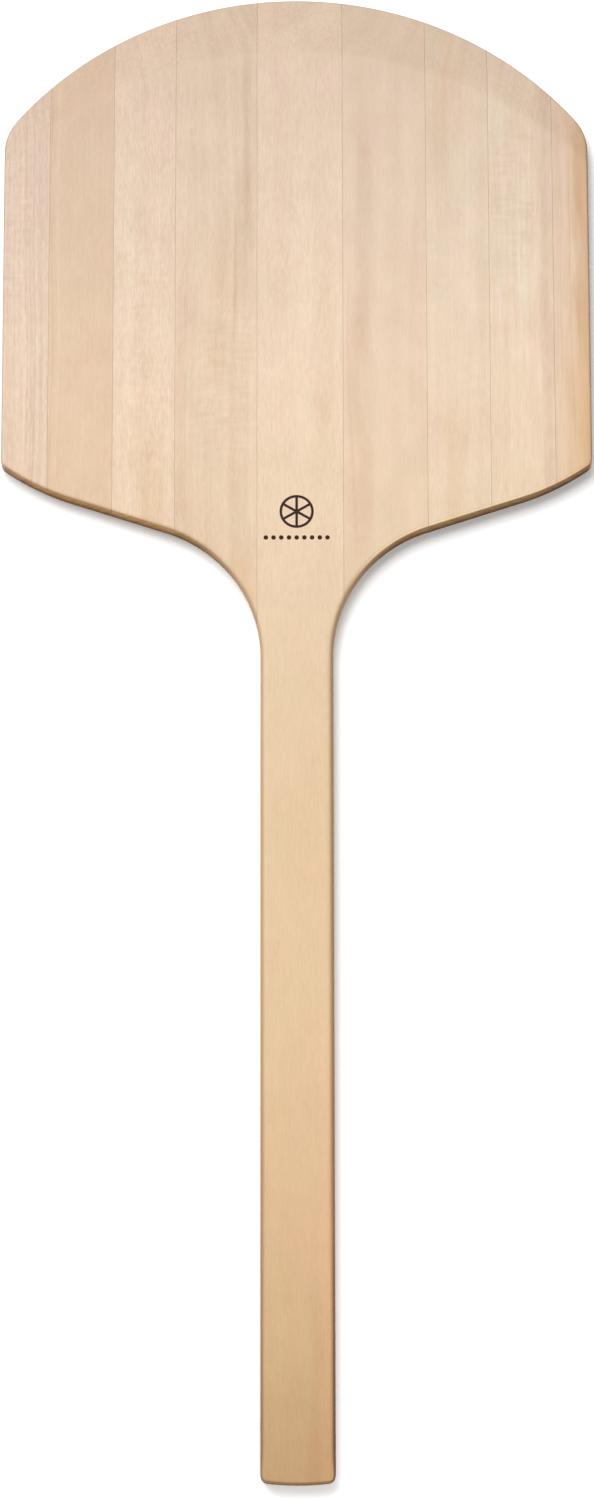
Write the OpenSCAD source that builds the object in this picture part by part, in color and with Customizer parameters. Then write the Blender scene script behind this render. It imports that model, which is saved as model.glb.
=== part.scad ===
// Wooden pizza peel: a flat blade and a long handle, glued up edge to edge from nine staves.
// The blade lies in the XY plane with its front edge at +Y, and its underside is the plane z = 0.

/* [Overall] */
// Length from the front edge to the end of the handle
overall_length = 1067; // [1000:1:1120]
// Width of the blade across its straight sides
blade_width = 416; // [400:1:430]
// Thickness of the board
board_thickness = 15.9; // [14:0.1:18]
// Width of the handle
handle_width = 50.8; // [46:0.2:54]

/* [Blade outline] */
// Radius of the curved front edge
front_r = 259; // [250:1:275]
// Rounding where the front edge meets a side
corner_r = 38; // [25:1:45]
// Rounding where a side meets a shoulder
heel_r = 6; // [4:1:14]
// Radius of the bowed outer part of a shoulder
shoulder_r = 178; // [150:1:200]
// Distance from the middle line to where a shoulder starts to bow
shoulder_bow_x = 158; // [150:1:165]
// Slope of the straight part of a shoulder, in degrees
shoulder_slope = 18; // [15:0.5:21]

/* [Neck and handle] */
// Radius of the hollow curve from handle to shoulder
neck_r = 96; // [85:1:105]
// Distance from mid-length to where the neck curve starts, towards the blade
neck_y = 43; // [30:1:50]
// Radius of the slightly bowed end of the handle
handle_end_r = 180; // [150:5:300]
// Rounding of the two corners at the end of the handle
handle_corner_r = 5; // [3:0.5:8]

/* [Front bevel] */
// Thickness left at the middle of the front edge
front_edge_thickness = 3.5; // [3:0.5:8]
// Width of the bevel at the middle of the front edge
bevel_width = 43.5; // [35:0.5:50]
// Radius of the line where the bevel meets the flat top
bevel_line_r = 300; // [290:1:320]

/* [Staves] */
// Reach of the handle stave to the left and the right of the middle line
handle_stave_reach = [27.8, 33]; // [27:0.1:40]
// Widths of the three inner left staves, counted outward; the fourth takes what is left
left_stave_widths = [58, 44, 45.6]; // [40:0.1:60]
// Widths of the three inner right staves, counted outward; the fourth takes what is left
right_stave_widths = [59.3, 44.6, 45.5]; // [40:0.1:60]
// Thickness of the glue film in each joint
glue_film = 0.2; // [0.1:0.05:0.3]

/* [Printed mark] */
// Distance of the round emblem's centre from mid-length, towards the blade
mark_y = 146; // [135:1:160]
// Radius of the emblem
mark_r = 12; // [8:0.5:14]
// Width of the emblem's lines
mark_line = 1.8; // [0.8:0.1:2.4]
// Thickness of the ink
ink_film = 0.1; // [0.05:0.05:0.2]

/* [Hidden] */
$fn = 240;

half_length = overall_length / 2;
half_blade = blade_width / 2;
half_handle = handle_width / 2;
// Farther from the origin than any part of the peel
beyond = overall_length;

function polar(centre, r, angle) = [centre.x + r * cos(angle), centre.y + r * sin(angle)];

// Front edge: one arc about the middle line, rounded into each side
front_centre = [0, half_length - front_r];
corner_x = half_blade - corner_r;
corner_centre = [corner_x, front_centre.y + sqrt(pow(front_r - corner_r, 2) - pow(corner_x, 2))];
front_side_angle = atan2(corner_centre.y - front_centre.y, corner_x);

// Neck: a hollow arc that leaves the handle's side and ends at the shoulder's slope
neck_centre = [half_handle + neck_r, neck_y];
neck_top_angle = 90 + shoulder_slope;
neck_top = polar(neck_centre, neck_r, neck_top_angle);

// Shoulder: straight at its slope, then bowed, then rounded into the side
bow_start = [shoulder_bow_x, neck_top.y + (shoulder_bow_x - neck_top.x) * tan(shoulder_slope)];
bow_start_angle = shoulder_slope - 90;
bow_centre = polar(bow_start, shoulder_r, 90 + shoulder_slope);
heel_x = half_blade - heel_r;
heel_centre = [heel_x, bow_centre.y - sqrt(pow(shoulder_r - heel_r, 2) - pow(heel_x - bow_centre.x, 2))];
heel_angle = atan2(heel_centre.y - bow_centre.y, heel_x - bow_centre.x);

// Handle end: a shallow arc rounded into each side
end_centre = [0, handle_end_r - half_length];
end_corner_x = half_handle - handle_corner_r;
end_corner_centre = [
    end_corner_x,
    end_centre.y - sqrt(pow(handle_end_r - handle_corner_r, 2) - pow(end_corner_x, 2))
];
end_side_angle = atan2(end_corner_centre.y - end_centre.y, end_corner_x);

// The right half of the outline where its straight lines and arcs meet, from front to handle end
right_points = [
    polar(front_centre, front_r, front_side_angle),
    [half_blade, corner_centre.y],
    [half_blade, heel_centre.y],
    polar(bow_centre, shoulder_r, heel_angle),
    bow_start,
    neck_top,
    [half_handle, neck_y],
    [half_handle, end_corner_centre.y],
    polar(end_centre, handle_end_r, end_side_angle)
];
left_points = [for (i = [len(right_points) - 1 : -1 : 0]) [-right_points[i].x, right_points[i].y]];

// Bevel: a cone about an upright axis, deepest at the middle of the front edge
bevel_slope = (board_thickness - front_edge_thickness) / bevel_width;
bevel_centre_y = half_length - bevel_width - bevel_line_r;
// Extra height and reach of the cutting cone past the board
cutter_margin = 5;
cutter_reach = bevel_width + cutter_margin;
// Half of the angle that the bevel's cutter sweeps either side of the middle line
bevel_sweep = 60;

// Seams between staves, counted outward from the handle stave
function running_sum(values, count) =
    count == 0 ? 0 : values[count - 1] + running_sum(values, count - 1);
function left_seam(i) = -handle_stave_reach[0] - running_sum(left_stave_widths, i - 1);
function right_seam(i) = handle_stave_reach[1] + running_sum(right_stave_widths, i - 1);
// The outermost stave on each side ends at the blade's own side
last = 4;

left_tones = [[0.87, 0.77, 0.68], [0.92, 0.83, 0.72], [0.87, 0.75, 0.63], [0.91, 0.81, 0.72]];
right_tones = [[0.89, 0.78, 0.68], [0.88, 0.78, 0.67], [0.91, 0.82, 0.71], [0.88, 0.75, 0.60]];
handle_tone = [0.92, 0.82, 0.69];
glue_tone = [0.62, 0.49, 0.36];
ink_tone = [0.22, 0.15, 0.11];

// A flat piece as thick as the board
module slab() {
    linear_extrude(board_thickness) children();
}

// A pie slice of a disc
module sector(centre, r, from, to) {
    slab()
        intersection() {
            translate(centre) circle(r);
            polygon([centre, polar(centre, 2 * r, from), polar(centre, 2 * r, to)]);
        }
}

module both_sides() {
    children();
    mirror([1, 0, 0]) children();
}

// The whole peel before its bevel: straight chords, plus the bowed arcs, less the two neck hollows
module peel_blank() {
    difference() {
        union() {
            slab() polygon(concat(right_points, left_points));
            sector(front_centre, front_r, front_side_angle, 180 - front_side_angle);
            sector(end_centre, handle_end_r, -180 - end_side_angle, end_side_angle);
            both_sides() {
                sector(corner_centre, corner_r, 0, front_side_angle);
                sector(heel_centre, heel_r, heel_angle, 0);
                sector(bow_centre, shoulder_r, bow_start_angle, heel_angle);
                sector(end_corner_centre, handle_corner_r, end_side_angle, 0);
            }
        }
        both_sides() sector(neck_centre, neck_r, neck_top_angle, 180);
    }
}

// What the front bevel takes off the top
module bevel_cutter() {
    translate([0, bevel_centre_y, board_thickness])
        rotate([0, 0, 90 - bevel_sweep])
            rotate_extrude(angle = 2 * bevel_sweep)
                polygon([
                    [bevel_line_r - cutter_margin / bevel_slope, cutter_margin],
                    [bevel_line_r + cutter_reach, -cutter_reach * bevel_slope],
                    [bevel_line_r + cutter_reach, cutter_margin]
                ]);
}

// The part of the peel between two upright planes across its width
module board_strip(from_x, to_x) {
    difference() {
        intersection() {
            peel_blank();
            translate([from_x, -beyond, 0]) cube([to_x - from_x, 2 * beyond, board_thickness]);
        }
        bevel_cutter();
    }
}

// The centre stave, in one piece from the front edge to the end of the handle
module handle_stave() {
    color(handle_tone)
        board_strip(left_seam(1) + glue_film / 2, right_seam(1) - glue_film / 2);
}

module left_stave(i) {
    outer_x = i == last ? -half_blade - cutter_margin : left_seam(i + 1) + glue_film / 2;
    color(left_tones[i - 1])
        board_strip(outer_x, left_seam(i) - glue_film / 2);
}

module right_stave(i) {
    outer_x = i == last ? half_blade + cutter_margin : right_seam(i + 1) - glue_film / 2;
    color(right_tones[i - 1])
        board_strip(right_seam(i) + glue_film / 2, outer_x);
}

// The hardened glue in one seam
module glue_line(seam_x) {
    color(glue_tone)
        board_strip(seam_x - glue_film / 2, seam_x + glue_film / 2);
}

// A plain emblem of a sliced round with a row of dots under it
module printed_mark() {
    slice_lines = 3;
    dot_count = 9;
    dot_pitch = 5.4;
    dot_r = 1.6;
    dot_drop = mark_r + 7;
    color(ink_tone)
        translate([0, mark_y, board_thickness])
            linear_extrude(ink_film) {
                difference() {
                    circle(mark_r);
                    circle(mark_r - mark_line);
                }
                intersection() {
                    circle(mark_r - mark_line / 2);
                    for (k = [0 : slice_lines - 1])
                        rotate(90 + k * 180 / slice_lines)
                            square([2 * mark_r, mark_line], center = true);
                }
                for (k = [0 : dot_count - 1])
                    translate([(k - (dot_count - 1) / 2) * dot_pitch, -dot_drop])
                        circle(dot_r);
            }
}

handle_stave();
for (i = [1 : last]) {
    left_stave(i);
    right_stave(i);
    glue_line(left_seam(i));
    glue_line(right_seam(i));
}
printed_mark();
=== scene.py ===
from math import atan2, cos, pi, radians, sin, sqrt, tan

import bmesh
import bpy
from mathutils import Matrix, Vector


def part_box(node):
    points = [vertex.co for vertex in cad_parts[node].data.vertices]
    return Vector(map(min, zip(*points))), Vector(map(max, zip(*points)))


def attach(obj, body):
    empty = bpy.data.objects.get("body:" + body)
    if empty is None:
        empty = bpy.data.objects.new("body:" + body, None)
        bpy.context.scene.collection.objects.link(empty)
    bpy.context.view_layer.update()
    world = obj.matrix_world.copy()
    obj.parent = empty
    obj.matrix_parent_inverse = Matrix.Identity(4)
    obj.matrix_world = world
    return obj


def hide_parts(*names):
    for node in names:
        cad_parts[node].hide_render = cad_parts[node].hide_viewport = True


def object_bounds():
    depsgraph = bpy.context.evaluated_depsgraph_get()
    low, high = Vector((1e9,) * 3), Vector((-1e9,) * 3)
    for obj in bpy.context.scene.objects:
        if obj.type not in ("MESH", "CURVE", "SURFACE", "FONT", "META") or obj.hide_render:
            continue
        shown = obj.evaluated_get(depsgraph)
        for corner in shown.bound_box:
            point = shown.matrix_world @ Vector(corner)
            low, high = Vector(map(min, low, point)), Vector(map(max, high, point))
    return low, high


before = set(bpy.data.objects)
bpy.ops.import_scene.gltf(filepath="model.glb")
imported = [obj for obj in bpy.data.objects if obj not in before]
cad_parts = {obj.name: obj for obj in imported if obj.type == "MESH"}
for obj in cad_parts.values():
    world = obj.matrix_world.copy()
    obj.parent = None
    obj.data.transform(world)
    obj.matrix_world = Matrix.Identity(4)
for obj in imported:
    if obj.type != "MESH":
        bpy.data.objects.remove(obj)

cad_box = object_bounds()
cad_low, cad_high = cad_box
mm = 0.001

# ---- Sizes of the peel, in metres, in the frame of the CAD model ----
# The blade's front edge is at +Y, the underside is z = 0.

board_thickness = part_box("handle_stave")[1].z
half_length = -cad_low.y
half_blade = cad_high.x
half_handle = 0.0254

front_r = 0.259
corner_r = 0.038
heel_r = 0.006
shoulder_r = 0.178
shoulder_bow_x = 0.158
shoulder_slope = radians(18)
neck_r = 0.096
neck_y = 0.043
handle_end_r = 0.180
handle_corner_r = 0.005

front_edge_thickness = 0.0035
bevel_width = 0.0435
bevel_line_r = 0.300
bevel_slope = (board_thickness - front_edge_thickness) / bevel_width
bevel_axis = Vector((0, half_length - bevel_width - bevel_line_r))
# Half of the width over which the bevel's inner line is sanded soft
bevel_blend = 0.0045

# Radius of the sanded edges at places along the peel: (y, top edge, bottom edge)
edge_radii = [
    (-0.5335, 0.0016, 0.0016),
    (-0.515, 0.0044, 0.0030),
    (-0.300, 0.0056, 0.0040),
    (0.040, 0.0050, 0.0040),
    (0.134, 0.0026, 0.0018),
    (0.200, 0.0020, 0.0014),
    (0.420, 0.0017, 0.0012),
    (0.5335, 0.0012, 0.0010),
]
# Band of flat board kept beside each sanded edge, so that its shading stays level
edge_support = 0.0012

# ---- Fineness of the mesh, in metres or in rows ----

arc_step = 0.003
line_step = 0.010
edge_steps = 6
bevel_rows = 6
# Where the rows across the softened line lie, as shares of bevel_blend
blend_shares = (1, 0.5, 0, -0.5, -1)
grid_step = 0.020
# Share of a step by which the grid is shifted, which keeps it off the middle line
grid_shift = 0.37
weld_distance = 5e-6


# ---- Outline ----

def polar(centre, r, angle):
    return Vector((centre[0] + r * cos(angle), centre[1] + r * sin(angle)))


def arc(centre, r, start, end, hollow=False):
    """Points along an arc, each with the direction that faces out of the board."""
    steps = max(3, round(r * abs(end - start) / arc_step))
    angles = [start + (end - start) * i / steps for i in range(steps + 1)]
    facing = -1 if hollow else 1
    return [(polar(centre, r, a), facing * polar((0, 0), 1, a)) for a in angles]


def line(start, end, outward):
    """Points along a straight stretch, without its two ends."""
    steps = max(2, round((end - start).length / line_step))
    return [(start.lerp(end, i / steps), outward) for i in range(1, steps)]


def right_half():
    """The outline from the middle of the front edge, along the right, to the handle end's middle."""
    front_centre = Vector((0, cad_high.y - front_r))
    corner_x = half_blade - corner_r
    corner_y = front_centre.y + sqrt((front_r - corner_r) ** 2 - corner_x ** 2)
    corner_centre = Vector((corner_x, corner_y))
    front_side = atan2(corner_y - front_centre.y, corner_x)

    neck_centre = Vector((half_handle + neck_r, neck_y))
    neck_top_angle = pi / 2 + shoulder_slope
    neck_top = polar(neck_centre, neck_r, neck_top_angle)

    bow_rise = (shoulder_bow_x - neck_top.x) * tan(shoulder_slope)
    bow_start = Vector((shoulder_bow_x, neck_top.y + bow_rise))
    bow_start_angle = shoulder_slope - pi / 2
    bow_centre = polar(bow_start, shoulder_r, neck_top_angle)
    heel_x = half_blade - heel_r
    heel_drop = sqrt((shoulder_r - heel_r) ** 2 - (heel_x - bow_centre.x) ** 2)
    heel_centre = Vector((heel_x, bow_centre.y - heel_drop))
    heel_angle = atan2(heel_centre.y - bow_centre.y, heel_x - bow_centre.x)

    end_centre = Vector((0, handle_end_r - half_length))
    end_x = half_handle - handle_corner_r
    end_drop = sqrt((handle_end_r - handle_corner_r) ** 2 - end_x ** 2)
    end_corner = Vector((end_x, end_centre.y - end_drop))
    end_side = atan2(end_corner.y - end_centre.y, end_x)

    right = Vector((1, 0))
    return [
        *arc(front_centre, front_r, pi / 2, front_side),
        *arc(corner_centre, corner_r, front_side, 0)[1:],
        *line(Vector((half_blade, corner_y)), Vector((half_blade, heel_centre.y)), right),
        *arc(heel_centre, heel_r, 0, heel_angle),
        *arc(bow_centre, shoulder_r, heel_angle, bow_start_angle)[1:],
        *line(bow_start, neck_top, polar((0, 0), 1, bow_start_angle)),
        *arc(neck_centre, neck_r, neck_top_angle, pi, hollow=True),
        *line(Vector((half_handle, neck_y)), Vector((half_handle, end_corner.y)), right),
        *arc(end_corner, handle_corner_r, 0, end_side),
        *arc(end_centre, handle_end_r, end_side, -pi / 2)[1:],
    ]


def whole_outline():
    """The closed outline, counter-clockwise seen from above."""
    right = right_half()
    mirrored = [(Vector((-p.x, p.y)), Vector((-n.x, n.y))) for p, n in right[1:-1]]
    return [right[0], *mirrored, *reversed(right[1:])]


# ---- Board surface ----

def edge_radius(y, column):
    """Sanded radius of the top edge (column 1) or the bottom edge (column 2) at y."""
    for low, high in zip(edge_radii, edge_radii[1:]):
        if y <= high[0]:
            share = max(0.0, (y - low[0]) / (high[0] - low[0]))
            return low[column] + (high[column] - low[column]) * share
    return edge_radii[-1][column]


def past_bevel_line(p):
    """How far a point lies past the bevel's inner line, towards the front edge."""
    if p.y < bevel_axis.y:
        return -bevel_line_r
    return (p - bevel_axis).length - bevel_line_r


def top_height(p):
    """Height of the top surface: flat, then falling away along the front bevel."""
    past = past_bevel_line(p)
    if past <= -bevel_blend:
        return board_thickness
    if past >= bevel_blend:
        return board_thickness - bevel_slope * past
    return board_thickness - bevel_slope * (past + bevel_blend) ** 2 / (4 * bevel_blend)


def bevel_column(p):
    """Points from p, beside the sanded front edge, back to the flat of the board."""
    past = past_bevel_line(p)
    if past <= -bevel_blend:
        return []
    outward = (p - bevel_axis).normalized()
    slope_shares = [1 - i / bevel_rows for i in range(1, bevel_rows)]
    slope_rows = [bevel_blend + (past - bevel_blend) * share for share in slope_shares]
    blend_rows = [bevel_blend * share for share in blend_shares]
    rows = [min(past, row) for row in slope_rows + blend_rows]
    return [bevel_axis + outward * (bevel_line_r + row) for row in rows]


def board_column(p, outward):
    """One column of points from the underside, round the edge and onto the top."""
    top_r, bottom_r = edge_radius(p.y, 1), edge_radius(p.y, 2)
    turns = [pi / 2 * i / edge_steps for i in range(edge_steps + 1)]
    column = [(p - outward * (bottom_r + edge_support), 0.0)]
    column += [(p - outward * bottom_r * (1 - sin(a)), bottom_r * (1 - cos(a))) for a in turns]
    for a in turns:
        q = p - outward * top_r * (1 - cos(a))
        column.append((q, top_height(q) - top_r * (1 - sin(a))))
    beside_edge = p - outward * (top_r + edge_support)
    flat_points = [beside_edge, *bevel_column(beside_edge)]
    # Every column has as many points. The spare ones lie on each other and are welded later.
    spare = bevel_rows + len(blend_shares) - len(flat_points)
    flat_points += [flat_points[-1]] * spare
    column += [(q, top_height(q)) for q in flat_points]
    return [Vector((q.x, q.y, z)) for q, z in column]


def build_plate():
    """The whole board as one closed mesh, before it is cut into staves."""
    bm = bmesh.new()
    columns = [[bm.verts.new(co) for co in board_column(p, n)] for p, n in whole_outline()]
    for here, after in zip(columns, columns[1:] + columns[:1]):
        for low, high in zip(range(len(here) - 1), range(1, len(here))):
            bm.faces.new((here[low], after[low], after[high], here[high]))
    bm.faces.new([column[-1] for column in columns])
    bm.faces.new([column[0] for column in reversed(columns)])
    bmesh.ops.remove_doubles(bm, verts=bm.verts, dist=weld_distance)
    bmesh.ops.dissolve_degenerate(bm, edges=bm.edges, dist=weld_distance)
    for axis, low, high in ((0, cad_low.x, cad_high.x), (1, cad_low.y, cad_high.y)):
        direction = Vector((axis == 0, axis == 1, 0))
        count = round((high - low) / grid_step)
        for i in range(1, count):
            at = direction * (low + (high - low) * (i + grid_shift) / count)
            geometry = [*bm.verts, *bm.edges, *bm.faces]
            bmesh.ops.bisect_plane(
                bm, geom=geometry, dist=weld_distance, plane_co=at, plane_no=direction)
    bmesh.ops.recalc_face_normals(bm, faces=bm.faces)
    return bm


def cut_at(bm, x, keep_right):
    """Cuts bm at an upright plane across its width and closes the cut."""
    geometry = [*bm.verts, *bm.edges, *bm.faces]
    cut = bmesh.ops.bisect_plane(
        bm, geom=geometry, dist=weld_distance, plane_co=(x, 0, 0), plane_no=(1, 0, 0),
        clear_inner=keep_right, clear_outer=not keep_right)
    edges = [g for g in cut["geom_cut"] if isinstance(g, bmesh.types.BMEdge)]
    bmesh.ops.edgeloop_fill(bm, edges=edges)
    for edge in edges:
        edge.smooth = False
    bmesh.ops.dissolve_degenerate(bm, edges=bm.edges, dist=weld_distance)


def make_piece(name, node, plate, material):
    """The part of the board that a CAD node takes up, with its sanded edges."""
    low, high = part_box(node)
    bm = plate.copy()
    if low.x > cad_low.x + mm:
        cut_at(bm, low.x, keep_right=True)
    if high.x < cad_high.x - mm:
        cut_at(bm, high.x, keep_right=False)
    for face in bm.faces:
        face.smooth = True
    bmesh.ops.recalc_face_normals(bm, faces=bm.faces)
    mesh = bpy.data.meshes.new(name)
    bm.to_mesh(mesh)
    bm.free()
    piece = bpy.data.objects.new(name, mesh)
    bpy.context.scene.collection.objects.link(piece)
    level = piece.modifiers.new("level shading", "WEIGHTED_NORMAL")
    level.keep_sharp = True
    mesh.materials.append(material)
    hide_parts(node)
    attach(piece, "root")


# ---- Node graphs ----

# Sockets of a Mix node that mixes colours: the factor and the two colours, then the result
mix_inputs = (0, 6, 7)
mix_result = 2


class Graph:
    """The node graph of one material."""

    def __init__(self, name):
        self.material = bpy.data.materials.new(name)
        self.material.use_nodes = True
        self.tree = self.material.node_tree
        self.tree.nodes.clear()
        self.shader = self.add("BsdfPrincipled")
        self.add("OutputMaterial", {"Surface": self.shader.outputs["BSDF"]})

    def add(self, kind, inputs=None, **settings):
        node = self.tree.nodes.new("ShaderNode" + kind)
        for key, value in settings.items():
            setattr(node, key, value)
        for key, value in (inputs or {}).items():
            self.put(node.inputs[key], value)
        return node

    def put(self, socket, value):
        if isinstance(value, bpy.types.NodeSocket):
            self.tree.links.new(value, socket)
        else:
            socket.default_value = value

    def math(self, operation, a, b=0.0, c=0.0):
        return self.add("Math", {0: a, 1: b, 2: c}, operation=operation).outputs[0]

    def total(self, start, parts):
        """start plus each (texture, weight) in parts."""
        for texture, weight in parts:
            start = self.math("MULTIPLY_ADD", texture, weight, start)
        return start

    def vector(self, operation, a, b=(0, 0, 0), c=(0, 0, 0)):
        node = self.add("VectorMath", {0: a, 1: b, 2: c}, operation=operation)
        return node.outputs["Value" if operation == "LENGTH" else "Vector"]

    def scale(self, value, factor):
        scaled = self.add("VectorMath", {0: value, "Scale": factor}, operation="SCALE")
        return scaled.outputs["Vector"]

    def place_in_mm(self):
        return self.scale(self.add("TexCoord").outputs["Object"], 1 / mm)

    def fade(self, value, low, high):
        """0 at low and before it, 1 at high and past it, and smooth in between."""
        inputs = {"Value": value, "From Min": low, "From Max": high}
        return self.add("MapRange", inputs, interpolation_type="SMOOTHSTEP").outputs["Result"]

    def noise(self, point, lengths, seed=0.0, detail=2.0, roughness=0.5, distortion=0.0):
        """Noise about zero whose features are as long as lengths, in mm, on each axis."""
        shift = (seed, seed * 0.7, seed * 1.3)
        inputs = {
            "Vector": self.vector("MULTIPLY_ADD", point, [1 / length for length in lengths], shift),
            "Scale": 1.0,
            "Detail": detail,
            "Roughness": roughness,
            "Distortion": distortion,
        }
        return self.math("SUBTRACT", self.add("TexNoise", inputs).outputs["Fac"], 0.5)

    def mix(self, factor, a, b, blend="MIX"):
        node = self.add("Mix", data_type="RGBA", blend_type=blend)
        for socket, value in zip(mix_inputs, (factor, a, b)):
            self.put(node.inputs[socket], value)
        return node.outputs[mix_result]

    def tint(self, factor, colour, by):
        """colour multiplied by another colour, as far as factor says."""
        return self.mix(factor, colour, by, blend="MULTIPLY")

    def ramp(self, value, stops):
        """Colour stops (place, colour) along value, read in a smooth curve."""
        node = self.add("ValToRGB", {"Fac": value})
        node.color_ramp.interpolation = "B_SPLINE"
        elements = node.color_ramp.elements
        while len(elements) < len(stops):
            elements.new(0.5)
        for element, (place, colour) in zip(elements, stops):
            element.position = place
            element.color = colour
        return node.outputs["Color"]

    def surface(self, colour, roughness, relief, strength, depth):
        """Gives the results to the shader. The relief is depth metres deep."""
        bump = self.add("Bump", {"Strength": strength, "Distance": depth, "Height": relief})
        self.put(self.shader.inputs["Base Color"], colour)
        self.put(self.shader.inputs["Roughness"], roughness)
        self.put(self.shader.inputs["Normal"], bump.outputs["Normal"])


# ---- Wood ----

# Brightness of a white surface in the board's place, where the display's white is 1
studio_gain = 1.30

# How the wood's tone changes along the peel: (y in mm, share of red, green and blue)
peel_tones = [
    (530, 0.800, 0.790, 0.805),
    (440, 0.852, 0.852, 0.872),
    (330, 0.930, 0.935, 0.940),
    (225, 0.993, 0.988, 0.970),
    (90, 0.955, 0.932, 0.858),
    (-30, 0.920, 0.873, 0.730),
    (-200, 0.928, 0.868, 0.716),
    (-340, 0.838, 0.714, 0.556),
    (-440, 0.740, 0.638, 0.456),
    (-530, 0.560, 0.440, 0.288),
]

# Lengths of the wood's features in mm: across the grain, along it and through the board
wander_size = (70, 240, 70)
fibre_size = (0.8, 42, 0.8)
blotch_size = (20, 32, 20)
blush_size = (22, 55, 22)
pore_size = (0.6, 8, 0.6)
ripple_size = (16, 3.4, 16)
swing_size = (400, 75, 400)
ragged_size = (9, 50, 9)
growth_line_length = 420
fleck_width = 1.0

# How far the grain strays from side to side, and where the pith lies below the board, in mm
wander_reach = 12.0
pith_spread = 60
pith_depth = 70
# Half of the length, in mm, over which a streak or a patch of curl fades at each end
end_fade = 25

# How strongly the grain's shade and the blush act on red, green and blue
shade_weights = (0.80, 1.00, 1.22)
blush_weights = (0.05, -0.05, 0.01)
# Strength of the grain on the handle, as a share of its strength on the blade
handle_grain = 0.6
# Strength of the painted shade and brown of the left side, as a share of the right side's: the left
# side faces the key light
left_shade_share = 0.7

bevel_tint = (0.945, 0.935, 0.925, 1.0)
# Painted shade on the sides of the board, with a browner tone
side_shade_tint = (0.62, 0.51, 0.41, 1.0)
# End grain's tones: the dark one is also painted shade at the foot of the walls
end_grain_dark_and_shade = (0.36, 0.20, 0.05, 1.0)
end_grain_pale = (0.90, 0.66, 0.32, 1.0)
# Painted highlight along the right shoulder's top edge
painted_highlight_tint = (1.45, 1.42, 1.36, 1.0)

wood_roughness = 0.56
wood_gloss = 0.25


def wood_colour(tone):
    """The linear colour of wood that shows as tone, 0 to 255, in the studio's light."""
    shares = [channel / 255 for channel in tone]
    linear = [s / 12.92 if s <= 0.04045 else ((s + 0.055) / 1.055) ** 2.4 for s in shares]
    return [value / studio_gain for value in linear]


class Wood(Graph):
    """The graph of one stave's basswood, whose grain runs along Y. Its lengths are in mm."""

    def __init__(self, name, seed):
        super().__init__(name)
        self.seed = seed
        self.point = self.place_in_mm()
        self.x, self.y, self.z = self.add("SeparateXYZ", {0: self.point}).outputs
        wander = self.noise(self.point, wander_size, seed, detail=1.0)
        self.grain_x = self.math("ADD", self.x, self.math("MULTIPLY", wander, wander_reach))
        self.grain = self.add("CombineXYZ", {0: self.grain_x, 1: self.y, 2: self.z}).outputs[0]

    def growth_lines(self, pitch):
        """Growth rings: shells about a pith that lies under the board."""
        pith = (self.seed * 7 % pith_spread - pith_spread / 2, 0, -pith_depth)
        shell = self.vector("MULTIPLY", self.vector("SUBTRACT", self.grain, pith), (1, 0, 1))
        ring = self.add("CombineXYZ", {0: self.vector("LENGTH", shell), 1: self.y, 2: 0.0})
        return self.noise(ring.outputs[0], (pitch, growth_line_length, 1), self.seed, roughness=0.6)

    def within(self, value, start_y, end_y):
        """value from start_y to end_y along the board, fading to 0 past both."""
        started = self.fade(self.y, start_y - end_fade, start_y + end_fade)
        ended = self.fade(self.y, end_y + end_fade, end_y - end_fade)
        return self.math("MULTIPLY", self.math("MULTIPLY", value, started), ended)

    def curl(self, shade, centre_x, half_width, strength, start_y, end_y):
        """shade with a patch of short ripples across the grain."""
        ripple = self.noise(
            self.point, ripple_size, self.seed + centre_x, detail=1.5, distortion=0.6)
        off = self.math("ABSOLUTE", self.math("SUBTRACT", self.x, centre_x))
        inside = self.within(self.fade(off, half_width, half_width * 0.5), start_y, end_y)
        return self.math("MULTIPLY_ADD", self.math("MULTIPLY", ripple, inside), strength, shade)

    def streak(self, colour, warm, centre_x, half_width, strength, tone, start_y, end_y, sway):
        """colour with a ragged streak of another tone along the grain."""
        swing = self.noise(self.point, swing_size, self.seed + centre_x, detail=1.0)
        swung_x = self.math("MULTIPLY_ADD", swing, 4 * sway, self.grain_x)
        off = self.math("ABSOLUTE", self.math("SUBTRACT", swung_x, centre_x))
        ragged = self.noise(self.grain, ragged_size, self.seed + 2 * centre_x, detail=3.0)
        off = self.math("MULTIPLY_ADD", ragged, 1.6 * half_width, off)
        inside = self.within(self.fade(off, half_width, 0.0), start_y, end_y)
        painted = self.vector("MULTIPLY", warm, wood_colour(tone))
        return self.mix(self.math("MULTIPLY", inside, strength), colour, painted)

    def tone_along_peel(self):
        """The wood's tone at each place along the peel: darker towards the front edge, and darker and
        browner towards the handle's end.
        """
        low, high = peel_tones[-1][0], peel_tones[0][0]
        along = self.math("DIVIDE", self.math("SUBTRACT", self.y, low), high - low)
        stops = [((y - low) / (high - low), (*shares, 1.0)) for y, *shares in reversed(peel_tones)]
        return self.ramp(along, stops)

    def bevel_share(self, fleck):
        """1 on the front bevel and 0 on the flat, with a slightly ragged line between them."""
        from_axis = self.vector("SUBTRACT", self.point, (0, bevel_axis.y / mm, 0))
        from_axis = self.vector("MULTIPLY", from_axis, (1, 1, 0))
        past = self.math("SUBTRACT", self.vector("LENGTH", from_axis), bevel_line_r / mm)
        past = self.math("MULTIPLY_ADD", fleck, 8.0, past)
        return self.math("MULTIPLY", self.fade(past, -3.5, 2.0), self.fade(self.y, 200, 250))


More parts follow.
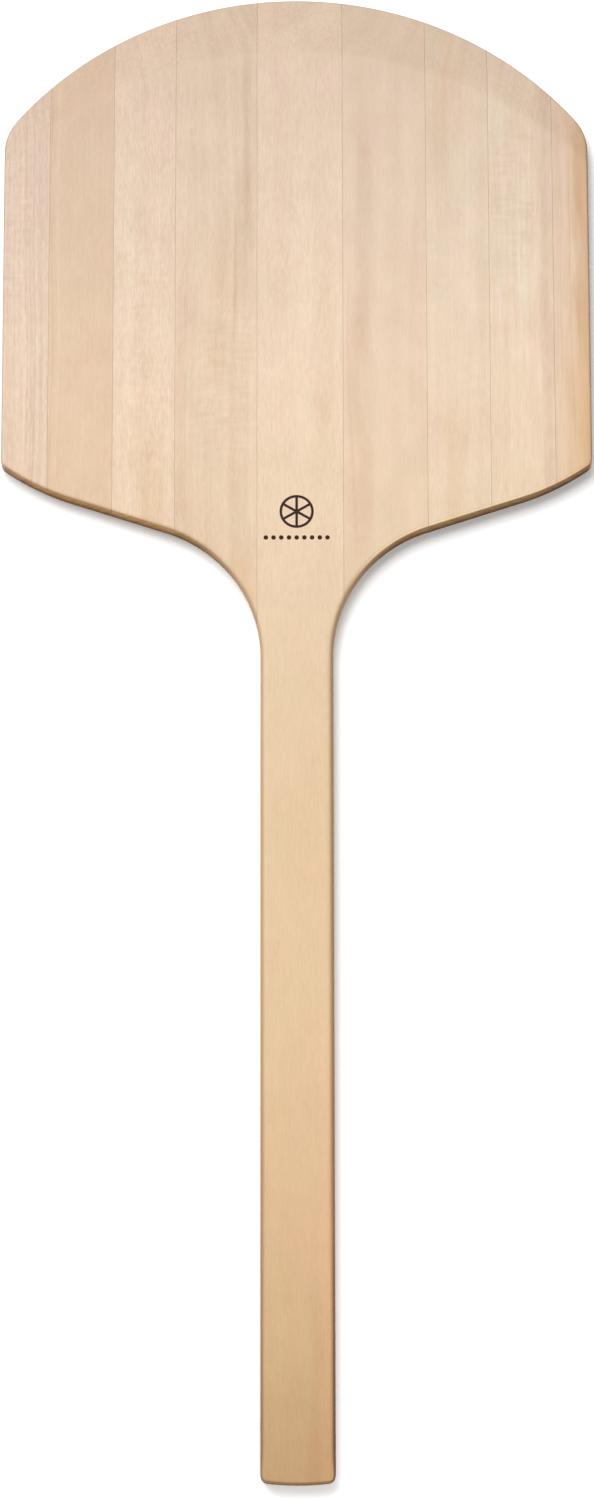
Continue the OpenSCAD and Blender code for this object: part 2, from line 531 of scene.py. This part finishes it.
def wood_material(
        name, tone, seed, lines, fibres, flecks, blotches, end_tone_and_shade=0.75, curls=(), streaks=()):
    """One stave's own wood. lines is (strength, pitch) and flecks is (strength, length)."""
    g = Wood(name, seed)
    rings = g.growth_lines(lines[1])
    fibre = g.noise(g.grain, fibre_size, seed + 3)
    fleck = g.noise(g.grain, (fleck_width, flecks[1], fleck_width), seed + 5, detail=1.0)
    blotch = g.noise(g.grain, blotch_size, seed + 9, detail=3.0)
    blush = g.noise(g.grain, blush_size, seed + 17)
    pores = g.noise(g.grain, pore_size, seed + 2)

    shade = g.total(0.0, ((rings, lines[0]), (fibre, fibres), (fleck, flecks[0]), (blotch, blotches)))
    for curl in curls:
        shade = g.curl(shade, *curl)
    # Hands have polished the handle, so its grain is fainter than the blade's
    on_blade = g.fade(g.y, 0, 140)
    strength = g.math("MULTIPLY_ADD", on_blade, 1 - handle_grain, handle_grain)
    shade = g.math("MULTIPLY", shade, strength)
    warm = g.vector("MULTIPLY_ADD", shade, shade_weights, (1, 1, 1))
    # Patches of the wood lean pink or green
    warm = g.vector("MULTIPLY_ADD", blush, blush_weights, warm)
    colour = g.vector("MULTIPLY", warm, wood_colour(tone))
    for streak in streaks:
        colour = g.streak(colour, warm, *streak)
    peel_tone = g.tone_along_peel()
    colour = g.tint(1.0, colour, peel_tone)

    # The front bevel cuts across the grain, so it is a little darker, tanner and smoother
    on_bevel = g.bevel_share(fleck)
    colour = g.tint(on_bevel, colour, bevel_tint)

    # The sides get painted shade with a browner tone. It is strongest on the right side, which faces
    # away from the key light, and it deepens twice as fast as the wood's tone along the peel
    facing_x, facing_y, facing_z = g.add(
        "SeparateXYZ", {0: g.add("TexCoord").outputs["Normal"]}).outputs
    right_side_shade = g.fade(facing_x, 0.20, 0.92)
    left_side_shade = g.math("MULTIPLY", g.fade(facing_x, -0.35, -0.98), left_shade_share)
    side_shade_tone = g.tint(1.0, peel_tone, g.tint(1.0, peel_tone, side_shade_tint))
    colour = g.tint(g.math("MAXIMUM", left_side_shade, right_side_shade), colour, side_shade_tone)

    # End grain drinks the finish, so it is browner still. Painted shade darkens it towards the floor,
    # so it is palest along its top edge
    end_grain = g.fade(g.math("ABSOLUTE", facing_y), 0.42, 0.90)
    shade_by_height = g.math("MULTIPLY_ADD", g.fade(g.z, 0, board_thickness / mm), 1.2, -0.15)
    end_shade = g.total(shade_by_height, ((rings, 1.2), (pores, 0.9)))
    end_colour = g.scale(g.mix(end_shade, end_grain_dark_and_shade, end_grain_pale), end_tone_and_shade)
    colour = g.tint(end_grain, colour, end_colour)

    # A painted highlight along the top edge of the right shoulder
    painted_highlight = g.math("MULTIPLY", g.fade(facing_y, -0.20, -0.50), g.fade(facing_z, 0.50, 0.75))
    painted_highlight = g.math("MULTIPLY", painted_highlight, g.fade(g.x, 0, 50))
    colour = g.tint(painted_highlight, colour, painted_highlight_tint)

    roughness = g.total(
        wood_roughness, ((fibre, 0.25), (blotch, 0.10), (on_bevel, -0.05), (end_grain, 0.15)))
    relief = g.total(fibre, ((fleck, 0.6), (pores, end_grain)))
    g.surface(colour, roughness, relief, strength=0.35, depth=0.00012)
    g.put(g.shader.inputs["Specular IOR Level"], wood_gloss)
    return g.material


# ---- Glue and ink ----

glue_size = (4, 20, 4)
glue_seed = 4.0
glue_dark = (0.09, 0.05, 0.025, 1.0)
glue_pale = (0.20, 0.13, 0.07, 1.0)

ink_size = (0.6, 6, 0.6)
ink_seed = 8.0
ink_dark = (0.016, 0.008, 0.005, 1.0)
ink_pale = (0.048, 0.025, 0.015, 1.0)
ink_gloss = 0.12


def glue_material():
    """Hardened glue: an amber line darker than the wood beside it."""
    g = Graph("hardened glue")
    uneven = g.noise(g.place_in_mm(), glue_size, glue_seed, detail=3.0)
    colour = g.mix(g.math("ADD", uneven, 0.5), glue_dark, glue_pale)
    roughness = g.math("MULTIPLY_ADD", uneven, 0.3, 0.42)
    g.surface(colour, roughness, uneven, strength=0.2, depth=0.00005)
    return g.material


def ink_material():
    """Dark brown ink that the grain breaks up a little."""
    g = Graph("printed ink")
    fibre = g.noise(g.place_in_mm(), ink_size, ink_seed, detail=3.0)
    colour = g.mix(g.math("MULTIPLY_ADD", fibre, 1.6, 0.4), ink_dark, ink_pale)
    roughness = g.math("MULTIPLY_ADD", fibre, 0.4, 0.70)
    g.surface(colour, roughness, fibre, strength=0.3, depth=0.00004)
    g.put(g.shader.inputs["Specular IOR Level"], ink_gloss)
    return g.material


# ---- The staves, each with its own wood ----

# curls: (x, half width, strength, from y, to y)
# streaks: (x, half width, strength, tone, from y, to y, sway)

staves = {
    "left_stave_4": dict(
        slot="wood_rose", tone=(233, 206, 183), seed=11.3,
        lines=(0.36, 2.0), fibres=0.28, flecks=(0.36, 8.0), blotches=0.14,
        curls=[(-200, 16, 0.20, 300, 420)],
        streaks=[
            (-180, 7.0, 0.45, (219, 194, 170), 150, 470, 0.4),
            (-191, 1.6, 0.40, (216, 187, 163), 150, 470, 0.4),
            (-186, 1.2, 0.40, (211, 183, 159), 150, 470, 0.3),
        ]),
    "left_stave_3": dict(
        slot="wood_tan", tone=(229, 199, 170), seed=23.1,
        lines=(0.10, 3.5), fibres=0.12, flecks=(0.17, 6.4), blotches=0.18,
        streaks=[
            (-174.9, 0.8, 0.35, (212, 172, 131), 150, 480, 0.0),
            (-170.5, 1.4, 0.30, (242, 217, 190), 150, 480, 0.1),
            (-140, 9.0, 0.30, (226, 196, 167), 330, 480, 1.5),
        ]),
    "left_stave_2": dict(
        slot="wood_pale", tone=(236, 209, 183), seed=37.9,
        lines=(0.18, 3.0), fibres=0.20, flecks=(0.32, 6.4), blotches=0.18,
        curls=[(-108, 24, 0.13, 200, 340)],
        streaks=[
            (-120, 8.0, 0.35, (245, 222, 199), 150, 400, 0.8),
            (-92, 4.0, 0.30, (245, 223, 200), 150, 420, 0.4),
            (-105, 17.0, 0.80, (230, 200, 169), 110, 200, 1.0),
        ]),
    "left_stave_1": dict(
        slot="wood_rose", tone=(233, 207, 180), seed=41.7,
        lines=(0.20, 3.0), fibres=0.18, flecks=(0.22, 6.4), blotches=0.22,
        curls=[(-50, 26, 0.20, 190, 300)],
        streaks=[
            (-34, 4.5, 0.42, (210, 181, 150), 350, 490, 0.8),
            (-38, 8.0, 0.35, (216, 187, 157), 300, 400, 1.0),
            (-44, 1.4, 0.35, (208, 177, 146), 270, 370, 1.8),
            (-52, 1.4, 0.30, (210, 180, 150), 260, 340, 1.8),
            (-82, 6.0, 0.45, (224, 190, 165), 140, 350, 0.7),
            (-30.5, 2.2, 0.40, (244, 220, 192), 140, 270, 0.1),
            (-36, 14.0, 0.60, (231, 187, 150), 0, 105, 0.5),
            (-62, 7.0, 0.30, (240, 216, 192), 340, 440, 1.2),
            (-55, 18.0, 0.35, (226, 195, 162), 240, 350, 2.0),
        ]),
    "handle_stave": dict(
        slot="wood_cream", tone=(239, 213, 186), seed=53.2,
        lines=(0.12, 4.0), fibres=0.18, flecks=(0.26, 6.4), blotches=0.18,
        streaks=[
            (-12, 8.0, 0.25, (229, 199, 171), 300, 520, 1.0),
            (20, 9.0, 0.25, (232, 202, 172), 180, 340, 1.2),
            (4, 10.0, 0.25, (245, 221, 196), 180, 420, 1.4),
            (21, 6.0, 0.35, (246, 205, 165), -560, -330, 0.8),
            (12, 8.0, 0.35, (232, 190, 165), -560, -400, 1.4),
            # This brown streak along the handle's right edge, near its end, is painted shade on the
            # edge that faces away from the key light
            (25, 4.0, 0.50, (222, 176, 126), -560, -380, 0.2),
            (-14, 6.0, 0.25, (244, 222, 190), -520, -200, 1.2),
        ]),
    # The right staves' lower tone of end grain paints shade on the right shoulder walls, which face
    # away from the key light
    "right_stave_1": dict(
        slot="wood_rose", tone=(236, 210, 183), seed=67.4,
        lines=(0.14, 5.0), fibres=0.12, flecks=(0.16, 8.0), blotches=0.20, end_tone_and_shade=0.57,
        streaks=[
            (49, 12.0, 0.40, (220, 189, 163), 260, 440, 2.8),
            (44, 11.0, 0.40, (221, 187, 160), 120, 300, 2.6),
            (39, 1.4, 0.30, (216, 183, 153), 130, 330, 1.4),
            (66, 7.0, 0.30, (243, 219, 193), 180, 400, 1.8),
        ]),
    "right_stave_2": dict(
        slot="wood_tan", tone=(238, 214, 188), seed=79.6,
        lines=(0.16, 4.0), fibres=0.16, flecks=(0.19, 6.4), blotches=0.20, end_tone_and_shade=0.52,
        streaks=[
            (104, 14.0, 0.40, (221, 192, 160), 385, 460, 1.6),
            (110, 20.0, 0.35, (234, 198, 162), 430, 520, 1.0),
            (121, 6.0, 0.40, (246, 225, 203), 280, 380, 1.4),
            (112, 14.0, 0.50, (231, 201, 168), 120, 220, 1.8),
        ]),
    "right_stave_3": dict(
        slot="wood_pale", tone=(239, 214, 187), seed=83.8,
        lines=(0.22, 3.5), fibres=0.18, flecks=(0.22, 9.6), blotches=0.20, end_tone_and_shade=0.50,
        curls=[(155, 20, 0.22, 320, 440)],
        streaks=[
            (147, 5.0, 0.40, (245, 226, 206), 280, 440, 1.6),
            (159, 6.0, 0.40, (245, 225, 204), 270, 410, 1.8),
            (178, 9.0, 0.80, (229, 200, 175), 150, 480, 0.5),
        ]),
    "right_stave_4": dict(
        slot="wood_amber", tone=(235, 206, 178), seed=97.5,
        lines=(0.28, 3.2), fibres=0.20, flecks=(0.16, 16.0), blotches=0.16, end_tone_and_shade=0.50,
        streaks=[
            (206, 14.0, 0.80, (217, 176, 133), 110, 440, 0.4),
            (198, 20.0, 0.50, (226, 187, 144), 100, 260, 0.5),
            (187, 4.0, 0.30, (222, 191, 165), 260, 430, 0.8),
            (195, 1.4, 0.35, (209, 169, 128), 180, 420, 0.6),
        ]),
}

plate = build_plate()
for node, look in staves.items():
    slot = look.pop("slot")
    board = node.replace("stave", "board")
    make_piece(board, node, plate, wood_material(board + " wood", **look))

glue = glue_material()
for side in ("left", "right"):
    for i in range(1, 5):
        make_piece(f"{side}_glue_seam_{i}", f"glue_{side}_{i}", plate, glue)
plate.free()

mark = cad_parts["printed_mark"]
mark.data.materials.clear()
mark.data.materials.append(ink_material())


# ---- Stage, light and camera ----

floor_r = 12.0
floor_sides = 64
floor_drop = 0.00005
floor_albedo = 0.96
floor_glow = 0.05
world_strength = 0.48

camera_place = (0, -0.9271, 3.628)
camera_target = (0, -0.0225, 0)
camera_roll = 0.0015
camera_lens = 128.8
camera_sensor = 36


def build_floor():
    """A flat white disc under the peel that glows faintly, as an overlit studio table does."""
    bm = bmesh.new()
    rim = [polar((0, 0), floor_r, 2 * pi * i / floor_sides) for i in range(floor_sides)]
    bm.faces.new([bm.verts.new((p.x, p.y, 0)) for p in rim])
    mesh = bpy.data.meshes.new("floor")
    bm.to_mesh(mesh)
    bm.free()
    floor = bpy.data.objects.new("floor", mesh)
    bpy.context.scene.collection.objects.link(floor)
    floor.location.z = -floor_drop
    g = Graph("studio table")
    g.put(g.shader.inputs["Base Color"], (floor_albedo, floor_albedo, floor_albedo, 1.0))
    g.put(g.shader.inputs["Roughness"], 0.9)
    g.put(g.shader.inputs["Specular IOR Level"], 0.0)
    g.put(g.shader.inputs["Emission Color"], (1, 1, 1, 1))
    g.put(g.shader.inputs["Emission Strength"], floor_glow)
    mesh.materials.append(g.material)


def aim(thing, target, up):
    """Points a camera or a light at target, with up towards the top of its picture."""
    back = (thing.location - Vector(target)).normalized()
    side = Vector(up).cross(back).normalized()
    thing.rotation_euler = Matrix((side, back.cross(side), back)).transposed().to_euler()


def build_light(name, place, target, width, depth, power):
    data = bpy.data.lights.new(name, "AREA")
    data.shape = "RECTANGLE"
    data.size = width
    data.size_y = depth
    data.energy = power
    light = bpy.data.objects.new(name, data)
    bpy.context.scene.collection.objects.link(light)
    light.location = place
    aim(light, target, (0, 0, 1))


def build_world():
    world = bpy.data.worlds.new("studio")
    world.use_nodes = True
    background = world.node_tree.nodes["Background"]
    background.inputs["Color"].default_value = (1, 1, 1, 1)
    background.inputs["Strength"].default_value = world_strength
    bpy.context.scene.world = world


def build_camera():
    """Looks down on the peel from a little beyond the handle's end."""
    data = bpy.data.cameras.new("camera")
    data.sensor_width = camera_sensor
    data.lens = camera_lens
    camera = bpy.data.objects.new("camera", data)
    bpy.context.scene.collection.objects.link(camera)
    camera.location = camera_place
    aim(camera, camera_target, (camera_roll, 1, 0))
    bpy.context.scene.camera = camera


build_floor()
build_light("key softbox", (-1.05, 1.75, 3.3), (0, 0, 0), width=2.8, depth=2.6, power=151)
build_light("fill card", (0.25, -0.95, 0.45), (0, -0.53, 0), width=0.5, depth=0.3, power=2.3)
build_world()
build_camera()

view = bpy.context.scene.view_settings
view.view_transform = "Standard"
view.look = "None"
view.exposure = 0.0
view.gamma = 1.0
